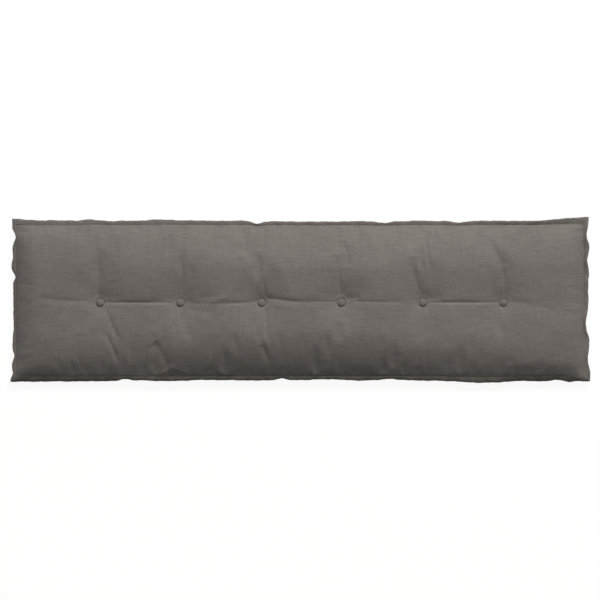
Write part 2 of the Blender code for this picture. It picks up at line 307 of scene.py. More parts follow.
def own_points(rows, columns):
    """Which points of the grid the back has to itself: every second one, apart from the rim."""
    inner = np.zeros((rows, columns), bool)
    inner[2:-2:2, 2:-2:2] = True
    return inner


def closed_cover(name, u_lines, v_lines, face, back):
    """A closed mesh of a face grid and a back grid of half as many cells, which share the rim.

    face and back are arrays of points, (across, along, 3). The back keeps every second line, and
    its outer cells take in the rim's in-between points. The face's corner cells are cut in two from
    the corner inwards, because a triangle of three rim points would lie on one of the back's.
    """
    rows, columns = len(v_lines), len(u_lines)
    number = np.arange(rows * columns).reshape(rows, columns)
    quads = np.stack((number[:-1, :-1], number[:-1, 1:], number[1:, 1:], number[1:, :-1]), axis=-1)
    under = number.copy()
    inner = own_points(rows, columns)
    under[inner] = rows * columns + np.arange(inner.sum())
    quads[[0, -1], [-1, 0]] = np.roll(quads[[0, -1], [-1, 0]], -1, axis=-1)
    at_corner = np.zeros((rows - 1, columns - 1), bool)
    at_corner[[0, 0, -1, -1], [0, -1, 0, -1]] = True
    halves = quads[at_corner][:, ((0, 1, 2), (0, 2, 3))].reshape(-1, 3)
    faces = quads[~at_corner].tolist() + halves.tolist()
    for j in range(0, rows - 1, 2):
        for i in range(0, columns - 1, 2):
            ring = [(j, i)]
            ring += [(j + 1, i)] * (i == 0) + [(j + 2, i)]
            ring += [(j + 2, i + 1)] * (j + 2 == rows - 1) + [(j + 2, i + 2)]
            ring += [(j + 1, i + 2)] * (i + 2 == columns - 1) + [(j, i + 2)]
            ring += [(j, i + 1)] * (j == 0)
            faces.append([int(under[spot]) for spot in ring])
    points = np.concatenate((face.reshape(-1, 3), back[inner]))
    mesh = bpy.data.meshes.new(name)
    mesh.from_pydata(points, [], faces)
    mesh.update()
    return mesh


def even_lines(count):
    """count + 1 evenly spaced lines from -1 to 1."""
    return np.linspace(-1.0, 1.0, count + 1)


def cover_points(u_lines, v_lines):
    """The face and the back as grids of points, before the filling is blown in."""
    u, v = np.meshgrid(u_lines, v_lines)
    x, y = plan(u, v)
    face = np.stack((x, y, face_height(u, v, x, y)), axis=-1)
    back = np.stack((x, y, back_height(u, v, x, y)), axis=-1)
    return face, back


# Folds and creases of the face, beside those that the filling makes. Each runs along a bowed line:
# (x and y of one end, x and y of the other, sideways bow to the right, depth or minus a ridge's
# height, how fast it falls away to the left and to the right of the line, roundness of its bottom)
FOLDS = (
    # along the valley
    (-0.640, -0.0070, -0.388, -0.0075, 0.000, 0.0048, 0.0070, 0.0050, 0.0015),
    (-0.620, -0.0140, -0.405, -0.0145, 0.000, -0.0010, 0.006, 0.006, 0.0040),
    (0.376, -0.0060, 0.630, -0.0070, 0.000, 0.0040, 0.0060, 0.0050, 0.0015),
    (0.400, -0.0125, 0.640, -0.0130, 0.000, -0.0008, 0.006, 0.006, 0.0040),
    (-0.367, -0.0040, -0.262, -0.0100, 0.003, 0.0024, 0.010, 0.008, 0.0030),
    (-0.312, -0.0150, -0.218, 0.0120, 0.000, -0.0026, 0.008, 0.009, 0.0040),
    (-0.320, 0.0080, -0.262, 0.0140, 0.000, 0.0016, 0.012, 0.010, 0.0050),
    (-0.265, -0.0120, -0.128, -0.0050, 0.000, 0.0034, 0.008, 0.006, 0.0025),
    (-0.350, -0.0270, -0.262, -0.0370, 0.000, 0.0034, 0.013, 0.018, 0.0060),
    (-0.114, 0.0070, 0.000, -0.0060, -0.001, 0.0044, 0.009, 0.008, 0.0025),
    (-0.040, -0.0050, 0.124, -0.0030, 0.000, 0.0026, 0.008, 0.007, 0.0030),
    (-0.108, -0.0170, -0.030, -0.0180, 0.000, -0.0014, 0.010, 0.010, 0.0050),
    (0.136, 0.0010, 0.184, 0.0130, 0.000, 0.0044, 0.014, 0.010, 0.0040),
    (0.150, -0.0040, 0.310, -0.0050, 0.000, 0.0026, 0.007, 0.006, 0.0020),
    (-0.820, 0.0080, -0.640, -0.0030, 0.003, 0.0028, 0.012, 0.007, 0.0040),
    (0.650, -0.0040, 0.722, -0.0110, 0.000, 0.0038, 0.012, 0.026, 0.0060),
    (0.690, -0.0120, 0.800, -0.0380, -0.003, 0.0026, 0.014, 0.034, 0.0080),
    (0.736, -0.0260, 0.794, -0.0560, -0.005, -0.0012, 0.008, 0.008, 0.0040),
    (-0.612, 0.0060, -0.556, 0.0140, 0.000, 0.0022, 0.013, 0.012, 0.0050),
    (0.388, 0.0010, 0.440, 0.0140, 0.000, 0.0036, 0.015, 0.010, 0.0050),
    # up from the tufts
    (-0.626, 0.0040, -0.630, 0.1680, 0.000, 0.0048, 0.028, 0.0090, 0.0028),
    (-0.366, 0.0040, -0.371, 0.1300, 0.002, 0.0042, 0.028, 0.0110, 0.0040),
    (-0.106, 0.0080, -0.126, 0.0900, 0.003, 0.0024, 0.014, 0.0060, 0.0030),
    (-0.124, 0.0780, -0.125, 0.1400, 0.000, 0.0034, 0.020, 0.0080, 0.0030),
    (-0.146, 0.1220, -0.147, 0.1800, 0.000, 0.0030, 0.020, 0.0100, 0.0040),
    (0.123, 0.0060, 0.111, 0.1380, 0.005, 0.0084, 0.034, 0.0130, 0.0030),
    (0.152, 0.1060, 0.134, 0.1860, 0.003, 0.0064, 0.020, 0.0090, 0.0025),
    (0.148, 0.0960, 0.140, 0.1200, 0.000, -0.0008, 0.006, 0.006, 0.0030),
    (0.384, 0.0060, 0.347, 0.1340, -0.006, 0.0052, 0.026, 0.0110, 0.0030),
    (0.386, 0.0940, 0.382, 0.2220, 0.005, -0.0034, 0.012, 0.005, 0.0018),
    (0.404, 0.1040, 0.383, 0.2200, 0.003, 0.0044, 0.010, 0.0060, 0.0018),
    (0.383, 0.0940, 0.382, 0.1200, 0.000, 0.0020, 0.010, 0.0050, 0.0020),
    (0.432, 0.1720, 0.402, 0.2230, 0.000, -0.0024, 0.006, 0.006, 0.0020),
    (0.436, 0.1700, 0.410, 0.2200, 0.000, 0.0020, 0.008, 0.007, 0.0030),
    (0.637, 0.0040, 0.574, 0.2050, 0.023, 0.0054, 0.026, 0.0080, 0.0030),
    # down from the upper seam
    (-0.171, 0.1420, -0.161, 0.2260, -0.002, 0.0066, 0.022, 0.0062, 0.0018),
    (-0.274, 0.1460, -0.266, 0.2240, -0.002, 0.0038, 0.014, 0.0060, 0.0025),
    (-0.024, 0.1860, -0.023, 0.2280, 0.000, 0.0028, 0.012, 0.0048, 0.0020),
    (-0.052, 0.1060, -0.051, 0.1560, 0.000, 0.0014, 0.014, 0.007, 0.0030),
    (-0.230, 0.1860, -0.229, 0.2200, 0.000, -0.0020, 0.008, 0.008, 0.0040),
    (-0.202, 0.1960, -0.199, 0.2280, 0.000, -0.0020, 0.007, 0.007, 0.0030),
    (-0.186, 0.1240, -0.184, 0.1580, 0.000, -0.0014, 0.009, 0.009, 0.0040),
    (-0.579, 0.1660, -0.578, 0.1940, 0.000, 0.0014, 0.010, 0.006, 0.0030),
    (-0.549, 0.1620, -0.548, 0.1980, 0.000, 0.0012, 0.010, 0.006, 0.0030),
    (-0.703, 0.1940, -0.690, 0.2290, 0.000, 0.0016, 0.010, 0.007, 0.0030),
    (0.172, 0.1840, 0.170, 0.2180, 0.000, 0.0014, 0.010, 0.006, 0.0030),
    (0.660, 0.1840, 0.661, 0.2160, 0.000, -0.0016, 0.010, 0.010, 0.0050),
    # down from the tufts
    (-0.562, -0.1210, -0.604, -0.0220, -0.003, 0.0040, 0.010, 0.0060, 0.0015),
    (-0.566, -0.1930, -0.607, -0.0990, 0.003, 0.0042, 0.009, 0.0060, 0.0012),
    (-0.578, -0.2060, -0.615, -0.1180, 0.003, -0.0006, 0.007, 0.007, 0.0030),
    (-0.449, -0.1560, -0.455, -0.1060, 0.000, 0.0028, 0.014, 0.007, 0.0040),
    (-0.408, -0.2120, -0.451, -0.1300, 0.002, 0.0080, 0.036, 0.018, 0.0060),
    (-0.426, -0.2130, -0.458, -0.1680, 0.000, -0.0008, 0.009, 0.009, 0.0040),
    (-0.352, -0.2290, -0.418, -0.2060, 0.003, -0.0016, 0.007, 0.007, 0.0030),
    (-0.096, -0.1250, -0.108, -0.0180, -0.001, 0.0038, 0.016, 0.0065, 0.0020),
    (-0.092, -0.1560, -0.120, -0.0980, 0.000, -0.0018, 0.006, 0.006, 0.0020),
    (-0.097, -0.1940, -0.121, -0.1370, 0.002, 0.0044, 0.012, 0.0085, 0.0025),
    (-0.061, -0.1560, -0.069, -0.0940, 0.000, 0.0014, 0.012, 0.007, 0.0040),
    (0.293, -0.1770, 0.295, -0.1050, 0.000, 0.0014, 0.010, 0.007, 0.0030),
    (0.548, -0.1950, 0.549, -0.1550, 0.000, -0.0010, 0.008, 0.008, 0.0030),
    (0.565, -0.1990, 0.561, -0.1540, 0.000, 0.0018, 0.010, 0.007, 0.0030),
    (0.627, -0.1050, 0.622, -0.0550, 0.000, 0.0012, 0.012, 0.009, 0.0040),
    (0.655, -0.1990, 0.654, -0.1790, 0.000, 0.0016, 0.010, 0.009, 0.0050),
    (-0.767, -0.2070, -0.760, -0.1800, 0.000, 0.0012, 0.014, 0.014, 0.0080),
    (-0.690, -0.0940, -0.654, -0.0400, 0.000, 0.0016, 0.012, 0.010, 0.0040),
    (-0.694, -0.0150, -0.656, -0.0320, 0.000, -0.0012, 0.008, 0.008, 0.0040),
    # broad and shallow: slack beside the tufts, and fuller or flatter stretches near the seams
    (-0.470, 0.0000, -0.385, 0.0020, 0.000, 0.0030, 0.016, 0.009, 0.0060),
    (-0.740, 0.0520, -0.610, 0.0520, 0.000, 0.0024, 0.045, 0.045, 0.0200),
    (0.645, 0.0300, 0.760, 0.0300, 0.000, 0.0028, 0.050, 0.030, 0.0200),
    (0.120, 0.0400, 0.200, 0.0400, 0.000, 0.0024, 0.050, 0.030, 0.0200),
    (-0.890, 0.1980, -0.540, 0.2000, 0.000, -0.0024, 0.020, 0.050, 0.0150),
    (0.020, 0.1880, 0.600, 0.1880, 0.000, 0.0024, 0.022, 0.060, 0.0200),
    (0.200, -0.1520, 0.560, -0.1520, 0.000, -0.0022, 0.060, 0.028, 0.0150),
    (-0.440, -0.1600, -0.060, -0.1650, 0.000, -0.0014, 0.060, 0.025, 0.0150),
    (-0.886, -0.2060, -0.690, -0.1920, 0.000, -0.0028, 0.034, 0.020, 0.0140),
    (0.640, -0.2020, 0.886, -0.1920, 0.000, -0.0044, 0.034, 0.020, 0.0140),
)
FOLD_SHOULDER = 0.25           # the cloth pushed out of a fold stands up beside it
FOLD_SPREAD = 2.4
FOLD_MARGIN = 0.008            # the folds die out this close to the seam


def fold_depth(x, y):
    """Depth of the folds, summed over the rows of their table.

    Across its line a fold falls away as exp(-d / w) on each side, with a round bottom, and has a
    low shoulder. Along the line its depth is half an ellipse.
    """
    depth = np.zeros_like(x)
    for x0, y0, x1, y1, bow, deep, left, right, blunt in FOLDS:
        run_x, run_y = x1 - x0, y1 - y0
        run = math.hypot(run_x, run_y)
        along = np.clip(((x - x0) * run_x + (y - y0) * run_y) / run ** 2, 0.0, 1.0)
        away = ((x - x0) * run_y - (y - y0) * run_x) / run - 4.0 * bow * along * (1.0 - along)
        wide = np.where(away > 0.0, right, left)
        trough = np.exp(-(np.hypot(away, blunt) - blunt) / wide)
        shoulder = FOLD_SHOULDER * np.exp(-((away / (FOLD_SPREAD * wide)) ** 2))
        depth += deep * (trough - shoulder) * np.sqrt(4.0 * along * (1.0 - along))
    return depth


def waves(place, rows):
    """Sum of sines along a line: (wavelength, height, phase) in each row."""
    return sum(high * np.sin(2.0 * np.pi * place / length + phase) for length, high, phase in rows)


# Puckers that the seam's stitches gather up, and soft lumps of the loose fibre
PUCKER_WAVES = ((0.0230, 0.28, 0.4), (0.0370, 0.42, 2.1), (0.0610, 0.45, 5.0), (0.1070, 0.35, 1.2))
PUCKER_HEIGHT = 0.0010
PUCKER_SHARES = (0.30, 0.35)    # at the short ends and along the lower seam, of those at the upper
PUCKER_REACH = 0.020
PUCKER_SHIFTS = 0.31, 0.17     # of the sides' and the ends' waves, so that opposite ones differ
LUMP_ALONG = ((0.131, 0.40, 0.9), (0.211, 0.45, 3.8), (0.373, 0.40, 0.2))
LUMP_ACROSS = ((0.117, 0.50, 2.2), (0.190, 0.60, 4.4))
LUMP_HEIGHT = 0.0006
LUMP_SLANTS = 0.4, 0.2


def unevenness(u, v, x, y):
    """Puckers that run in from the seam and fade out, and lumps that cross each other at a slant."""
    in_x = RIM_X * (1.0 - np.abs(u))
    in_y = RIM_Y * (1.0 - np.abs(v))
    side_share = np.where(v > 0.0, 1.0, PUCKER_SHARES[1])
    on_side = waves(x + np.sign(v) * PUCKER_SHIFTS[0], PUCKER_WAVES)
    on_end = waves(y + np.sign(u) * PUCKER_SHIFTS[1], PUCKER_WAVES)
    from_side = side_share * on_side * in_y / PUCKER_REACH
    from_end = PUCKER_SHARES[0] * on_end * in_x / PUCKER_REACH
    faded_side = from_side * np.exp(1.0 - in_y / PUCKER_REACH)
    puckers = faded_side + from_end * np.exp(1.0 - in_x / PUCKER_REACH)
    along = waves(x + LUMP_SLANTS[0] * y, LUMP_ALONG)
    lumps = along * waves(y - LUMP_SLANTS[1] * x, LUMP_ACROSS)
    return PUCKER_HEIGHT * puckers + LUMP_HEIGHT * lumps


def seam_fade(u, v):
    """Nothing at the seam, and one from the folds' margin inwards."""
    in_x = RIM_X * (1.0 - np.abs(u))
    in_y = RIM_Y * (1.0 - np.abs(v))
    return 1.0 - bell(np.minimum(in_x, in_y) / FOLD_MARGIN)


TUFT_CLEAR = TUFT_SEAT + POCKET_WIDTH


def folded(face, u_lines, v_lines):
    """The face with its folds pressed in, and its puckers and lumps."""
    u, v = np.meshgrid(u_lines, v_lines)
    x, y = face[..., 0], face[..., 1]
    change = unevenness(u, v, x, y) - fold_depth(x, y)
    seat = np.clip((tuft_distance(x, y) - TUFT_CLEAR) / TUFT_SEAT, 0.0, 1.0)
    pressed = face.copy()
    pressed[..., 2] += change * seam_fade(u, v) * seat
    return pressed


def placed(name, data):
    """A new object in the scene, which holds the data."""
    thing = bpy.data.objects.new(name, data)
    bpy.context.scene.collection.objects.link(thing)
    return thing


SIM_CELLS = (320, 86)          # cells of about 5.5 mm while the cover is blown up
SIM_FRAMES = 20
SIM_PRESSURE = 5.0
SIM_SLACK = 0.002              # the cloth is cut this share too long, so it wrinkles
MOST_SWELL = 0.003             # how far the filling may push a point of the face


def blown_up(face, back, u_lines, v_lines):
    """How far each point of the face moves when the filling pushes the cover out.

    The cloth is held at the seam, at the tufts and all over the back. The move's length m becomes
    c * tanh(m / c), so that none is longer than the cap c.
    """
    mesh = closed_cover("blown_cover", u_lines, v_lines, face, back)
    cover = placed("blown_cover", mesh)
    u, v = np.meshgrid(u_lines, v_lines)
    rim = (np.abs(u) == 1.0) | (np.abs(v) == 1.0)
    seat = tuft_distance(face[..., 0], face[..., 1]) < TUFT_CLEAR
    held = np.flatnonzero(rim | seat).tolist() + list(range(u.size, len(mesh.vertices)))
    cover.vertex_groups.new(name="held").add(held, 1.0, "REPLACE")
    cloth = cover.modifiers.new("cloth", "CLOTH")
    settings = cloth.settings
    settings.quality = 5
    settings.mass = 0.3
    settings.tension_stiffness = 15.0
    settings.compression_stiffness = 15.0
    settings.shear_stiffness = 5.0
    settings.bending_stiffness = 20.0
    settings.use_pressure = True
    settings.uniform_pressure_force = SIM_PRESSURE
    settings.shrink_min = -SIM_SLACK
    settings.vertex_group_mass = "held"
    settings.effector_weights.gravity = 0.0
    cloth.collision_settings.use_collision = False
    cloth.collision_settings.use_self_collision = False
    scene = bpy.context.scene
    for step in range(1, SIM_FRAMES + 1):
        scene.frame_set(step)
    settled = cover.evaluated_get(bpy.context.evaluated_depsgraph_get()).data
    spots = np.empty(len(settled.vertices) * 3)
    settled.vertices.foreach_get("co", spots)
    move = spots.reshape(-1, 3)[: u.size].reshape(face.shape) - face
    scene.frame_set(1)
    bpy.data.objects.remove(cover, do_unlink=True)
    bpy.data.meshes.remove(mesh)
    length = np.linalg.norm(move, axis=-1, keepdims=True)
    return move * MOST_SWELL * np.tanh(length / MOST_SWELL) / np.maximum(length, 1e-9)


def resampled(grid, u_lines, v_lines):
    """Values of an even grid at other lines: a cubic through the four nearest points each way."""
    for axis, lines in ((0, v_lines), (1, u_lines)):
        cells = grid.shape[axis] - 1
        place = (lines + 1.0) / 2.0 * cells
        first = np.clip(place.astype(int), 0, cells - 1)
        t = (place - first).reshape([-1 if k == axis else 1 for k in range(grid.ndim)])
        weights = (
            ((2.0 - t) * t - 1.0) * t / 2.0,
            ((3.0 * t - 5.0) * t * t + 2.0) / 2.0,
            ((4.0 - 3.0 * t) * t + 1.0) * t / 2.0,
            (t - 1.0) * t * t / 2.0,
        )
        near = [np.clip(first + step, 0, cells) for step in (-1, 0, 1, 2)]
        grid = sum(weight * np.take(grid, spot, axis=axis) for weight, spot in zip(weights, near))
    return grid


GRADING_PLACES = 8001


def graded_lines(half, wished_step):
    """An even number of cells from -1 to 1, as wide at each place as the wished step there."""
    place = np.linspace(-half, half, GRADING_PLACES)
    step = wished_step(place)
    cells = np.concatenate(([0.0], np.cumsum(np.diff(place) * 2.0 / (step[1:] + step[:-1]))))
    count = 2 * math.ceil(cells[-1] / 2.0)
    lines = np.interp(np.linspace(0.0, cells[-1], count + 1), cells, place) / half
    lines[0], lines[-1] = -1.0, 1.0
    return lines


# The grid's steps, (along, across): in the open, beside the tufts and their valley, at the seams
OPEN_STEPS = 0.0026, 0.0044
TUFT_STEPS = 0.0014, 0.0013
SEAM_STEPS = 0.0016, 0.0014
TUFT_GROWTH = 0.09, 0.08       # how fast a step widens with the distance from them
SEAM_GROWTH = 0.06


def step_along(x):
    """The open step, but finer round each button and at the two ends, growing evenly from there."""
    near_tuft = np.min([np.abs(x - place) for place in tuft_x], axis=0)
    at_end = SEAM_STEPS[0] + (RIM_X - np.abs(x)) * SEAM_GROWTH
    round_button = TUFT_STEPS[0] + np.clip(near_tuft - TUFT_CLEAR, 0.0, None) * TUFT_GROWTH[0]
    return np.minimum(OPEN_STEPS[0], np.minimum(round_button, at_end))


def step_across(y):
    """The open step, but finer along the valley and at the long seams, growing evenly from there."""
    at_side = SEAM_STEPS[1] + (RIM_Y - np.abs(y)) * SEAM_GROWTH
    from_valley = np.clip(np.abs(y - tuft_y) - TUFT_CLEAR, 0.0, None)
    in_valley = TUFT_STEPS[1] + from_valley * TUFT_GROWTH[1]
    return np.minimum(OPEN_STEPS[1], np.minimum(in_valley, at_side))


def arc_lengths(points, axis, middle):
    """Length along the surface from the middle line to each point, in the grid's given direction."""
    steps = np.linalg.norm(np.diff(points, axis=axis), axis=-1)
    start = np.zeros_like(np.take(steps, [0], axis=axis))
    length = np.concatenate((start, np.cumsum(steps, axis=axis)), axis=axis)
    return length - np.take(length, [middle], axis=axis)


CUT_CORNERS = 8                # each of the four cut cells has two more face corners


def weave_map(mesh, rows, columns, face, back):
    """A UV map in metres along the yarns, from arc lengths over the face and over the back."""
    middle = rows // 2, columns // 2
    maps = []
    for points in (face, back):
        along = arc_lengths(points, 1, middle[1])
        across = arc_lengths(points, 0, middle[0])
        maps.append(np.stack((along, across), axis=-1).reshape(-1, 2))
    own = maps[1].reshape(rows, columns, 2)[own_points(rows, columns)]
    under_map = np.concatenate((maps[1], own))
    corner = np.empty(len(mesh.loops), int)
    mesh.loops.foreach_get("vertex_index", corner)
    face_corners = (rows - 1) * (columns - 1) * 4 + CUT_CORNERS
    uv = np.concatenate((maps[0][corner[:face_corners]], under_map[corner[face_corners:]]))
    mesh.uv_layers.new(name="weave").data.foreach_set("uv", uv.ravel())


def linear(code):
    """An sRGB hex colour as linear red, green, blue and alpha."""
    channels = [int(code[k : k + 2], 16) / 255.0 for k in (1, 3, 5)]
    return (*(((c + 0.055) / 1.055) ** 2.4 if c > 0.04045 else c / 12.92 for c in channels), 1.0)


def put(tree, kind, settings, inputs):
    """Add a node, make its settings, and link or set its inputs."""
    node = tree.nodes.new(kind)
    for name, value in settings.items():
        setattr(node, name, value)
    for socket, value in inputs.items():
        if isinstance(value, bpy.types.NodeSocket):
            tree.links.new(value, node.inputs[socket])
        else:
            node.inputs[socket].default_value = value
    return node


YARN_PITCH = 0.0016            # the real yarns lie about 0.8 mm apart; twice that, so they can show
SLUB_LENGTH, SLUB_HEIGHT = 0.055, 0.0050
WARP_SLUB_WIDTH, WARP_SLUB_LENGTH = 0.0050, 0.070
FLECK_LENGTH, FLECK_HEIGHT = 0.014, 0.0020
CLOUD_SIZE = 0.140
ROUGHNESS, ROUGHNESS_SPREAD = 0.84, 0.12    # rougher where the yarn is lighter
TONE_RELIEF = 1.2              # share of the tone in the bump, against the yarns' pillows
BUMP_STRENGTH, BUMP_DEPTH = 0.35, 0.0005
CLOTH_SPECULAR, CLOTH_SHEEN, CLOTH_SHEEN_ROUGHNESS = 0.25, 0.15, 0.5


def melange_weave(name, dark_yarn, light_yarn):
    """Plain weave of polyester yarns spun in two greys, with slubs as linen has.

    Matt and dry, with a faint bloom of fibre ends at grazing angles. The tone between the two yarn
    colours is the sum of long slubs both ways, short flecks and slow clouds. The bump is the
    product of a sine along each yarn direction, which makes one small pillow a crossing.
    """
    material = bpy.data.materials.new(name)
    material.use_nodes = True
    tree = material.node_tree
    shader = tree.nodes["Principled BSDF"]
    uv = put(tree, "ShaderNodeUVMap", {"uv_map": "weave"}, {}).outputs[0]
    tone = 0.5
    parts = (                  # (scale, detail, share of the tone)
        ((1.0 / SLUB_LENGTH, 1.0 / SLUB_HEIGHT, 1.0), 2.0, 1.00),
        ((1.0 / WARP_SLUB_WIDTH, 1.0 / WARP_SLUB_LENGTH, 1.0), 2.0, 0.55),
        ((1.0 / FLECK_LENGTH, 1.0 / FLECK_HEIGHT, 1.0), 1.0, 0.70),
        ((1.0 / CLOUD_SIZE, 1.0 / CLOUD_SIZE, 1.0), 1.0, 0.45),
    )
    for scale, detail, share in parts:
        stretched = put(tree, "ShaderNodeMapping", {}, {"Vector": uv, "Scale": scale}).outputs[0]
        noise = put(
            tree,
            "ShaderNodeTexNoise",
            {"noise_dimensions": "2D"},
            {"Vector": stretched, "Scale": 1.0, "Detail": detail},
        ).outputs[0]
        centred = put(tree, "ShaderNodeMath", {"operation": "SUBTRACT"}, {0: noise, 1: 0.5})
        tone = put(
            tree,
            "ShaderNodeMath",
            {"operation": "MULTIPLY_ADD"},
            {0: centred.outputs[0], 1: share, 2: tone},
        ).outputs[0]
    colour = put(
        tree,
        "ShaderNodeMix",
        {"data_type": "RGBA"},
        {0: tone, 6: linear(dark_yarn), 7: linear(light_yarn)},
    ).outputs[2]
    rough = put(
        tree,
        "ShaderNodeMath",
        {"operation": "MULTIPLY_ADD"},
        {0: tone, 1: ROUGHNESS_SPREAD, 2: ROUGHNESS},
    ).outputs[0]
    yarns = put(tree, "ShaderNodeSeparateXYZ", {}, {0: uv})
    sines = []
    for axis in (0, 1):
        turned = put(
            tree,
            "ShaderNodeMath",
            {"operation": "MULTIPLY"},
            {0: yarns.outputs[axis], 1: math.pi / YARN_PITCH},
        ).outputs[0]
        sines.append(put(tree, "ShaderNodeMath", {"operation": "SINE"}, {0: turned}).outputs[0])
    crossing = put(
        tree, "ShaderNodeMath", {"operation": "MULTIPLY"}, {0: sines[0], 1: sines[1]}
    ).outputs[0]
    pillow = put(tree, "ShaderNodeMath", {"operation": "ABSOLUTE"}, {0: crossing}).outputs[0]
    relief = put(
        tree, "ShaderNodeMath", {"operation": "MULTIPLY_ADD"}, {0: tone, 1: TONE_RELIEF, 2: pillow}
    ).outputs[0]
    bump = put(
        tree,
        "ShaderNodeBump",
        {},
        {"Strength": BUMP_STRENGTH, "Distance": BUMP_DEPTH, "Height": relief},
    ).outputs[0]
    tree.links.new(colour, shader.inputs["Base Color"])
    tree.links.new(rough, shader.inputs["Roughness"])
    tree.links.new(bump, shader.inputs["Normal"])
    shader.inputs["Specular IOR Level"].default_value = CLOTH_SPECULAR
    shader.inputs["Sheen Weight"].default_value = CLOTH_SHEEN
    shader.inputs["Sheen Roughness"].default_value = CLOTH_SHEEN_ROUGHNESS
    return material


SHARP_ANGLE = math.radians(75.0)    # an edge that bends by more than this is shaded sharp

u_lines = graded_lines(RIM_X, step_along)
v_lines = graded_lines(RIM_Y, step_across)
face, back = cover_points(u_lines, v_lines)
even_u, even_v = even_lines(SIM_CELLS[0]), even_lines(SIM_CELLS[1])
slack_face, slack_back = cover_points(even_u, even_v)
face = face + resampled(blown_up(slack_face, slack_back, even_u, even_v), u_lines, v_lines)
face = folded(face, u_lines, v_lines)
cover_mesh = closed_cover("cushion_cover", u_lines, v_lines, face, back)
weave_map(cover_mesh, len(v_lines), len(u_lines), face, back)
cover_mesh.shade_smooth()
cover_mesh.set_sharp_from_angle(angle=SHARP_ANGLE)
cover = placed("cushion_cover", cover_mesh)
cover_mesh.materials.append(melange_weave("linen_look_cover_cloth", "#625D59", "#76716D"))
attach(cover, "root")
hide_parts("cushion_body")


# ---------------------------------------------------------------------------------------------
# The welt. One long strip of the same cloth, folded double over its own turnings and sewn into the
# seam all round, so it stands out as a soft flat tube. It is gathered where the seam is tight, and
# the fold waves in and out and is drawn to an ear at each corner.

WELT_STATIONS_ALONG = 430      # about 4 mm apart
WELT_STATIONS_ACROSS = 126
WELT_IN_SEAM = 0.0012
WELT_FULLEST = 0.55            # share of its width where the strip is thickest
WELT_HALF_THICK = 0.0024
WELT_HALF_AT_SEAM = 0.0017
WELT_CLOTH = 0.0007
WELT_LIFT = 0.35
WELT_LEAST_HOLLOW = 0.0001     # half of the gap that always stays between the inner walls
WELT_CUT_EDGE = 0.0014         # how far the weave runs across the cut edge inside the seam
WELT_RISING, WELT_TURNING = 5, 7    # points of the section up to its fullest place, and round the fold

# How far the folded edge hangs below the seam, along each side: (place along the side, droop)
LEFT_DROOP = (
    (-0.24, 0.0035),
    (-0.10, 0.0045),
    (-0.04, 0.0080),
    (0.05, 0.0080),
    (0.12, 0.0055),
    (0.24, 0.0030),
)
RIGHT_DROOP = (
    (-0.24, -0.0030),
    (-0.10, -0.0030),
    (0.00, -0.0045),
    (0.10, -0.0085),
    (0.20, -0.0085),
    (0.24, -0.0060),
)
LOWER_DROOP = (
    (-0.90, 0.0085),
    (-0.58, 0.0085),
    (-0.50, 0.0063),
    (0.58, 0.0066),
    (0.68, 0.0090),
    (0.90, 0.0090),
)
UPPER_DROOP = (
    (-0.90, 0.0005),
    (0.50, 0.0000),
    (0.62, -0.0026),
    (0.90, -0.0040),
)
SIDE_MITRE, END_MITRE = 40, 10    # powers by which a side's and an end's droop meet at the corner
WELT_WAVES = ((0.019, 0.30, 0.7), (0.031, 0.45, 2.9), (0.053, 0.50, 4.1), (0.089, 0.45, 0.3))
WELT_WAVE_HEIGHT = 0.0011
WELT_WAVE_WIDTH = 0.0007
WAVE_SHIFTS = 1.3, 0.11        # of the ends' waves, and of the sideways ones from those up and down


def welt_stations():
    """(u, v) round the unit square, anticlockwise from the lower left, without a repeated point."""
    along = even_lines(WELT_STATIONS_ALONG)[:-1]
    across = even_lines(WELT_STATIONS_ACROSS)[:-1]
    sides = (
        (along, -np.ones_like(along)),
        (np.ones_like(across), across),
        (-along, np.ones_like(along)),
        (-np.ones_like(across), -across),
    )
    return np.concatenate([np.stack(side, axis=-1) for side in sides]).T


def welt_paths():
    """Where the strip leaves the seam, and its folded edge, which is mitred at the corners."""
    u, v = welt_stations()
    on_end, on_side = np.abs(u) == 1.0, np.abs(v) == 1.0
    x, y = plan(u, v)
    seam = np.stack((x, y, rim_height(u, v, RIM_LIFT)), axis=-1)
    out_x, out_y = side_offsets(u, v)
    corner_x, corner_y = side_offsets(np.sign(u), np.sign(v))
    around = np.where(on_side, x * v, WAVE_SHIFTS[0] + y * u)
    fine = WELT_WAVE_WIDTH * waves(around + WAVE_SHIFTS[1], WELT_WAVES)
    by_x = np.where(on_end, out_x + fine, corner_x * np.abs(u) ** END_FADE)
    by_y = np.where(on_side, out_y + fine, corner_y * np.abs(v) ** SIDE_FADE)
    edge_x = u * HALF_LENGTH + np.sign(u) * by_x
    edge_y = v * HALF_WIDTH + np.sign(v) * by_y
    left, right = (np.interp(y, *zip(*rows)) for rows in (LEFT_DROOP, RIGHT_DROOP))
    lower, upper = (np.interp(x, *zip(*rows)) for rows in (LOWER_DROOP, UPPER_DROOP))
    at_end, at_side = np.where(u > 0.0, right, left), np.where(v > 0.0, upper, lower)
    on_long = at_side + (at_end - at_side) / 2.0 * np.abs(u) ** SIDE_MITRE
    on_short = at_end + (at_side - at_end) / 2.0 * np.abs(v) ** END_MITRE
    droop = np.where(on_side, on_long, on_short)
    edge_z = rim_height(u, v, WELT_LIFT) - droop + WELT_WAVE_HEIGHT * waves(around, WELT_WAVES)
    return seam, np.stack((edge_x, edge_y, edge_z), axis=-1)


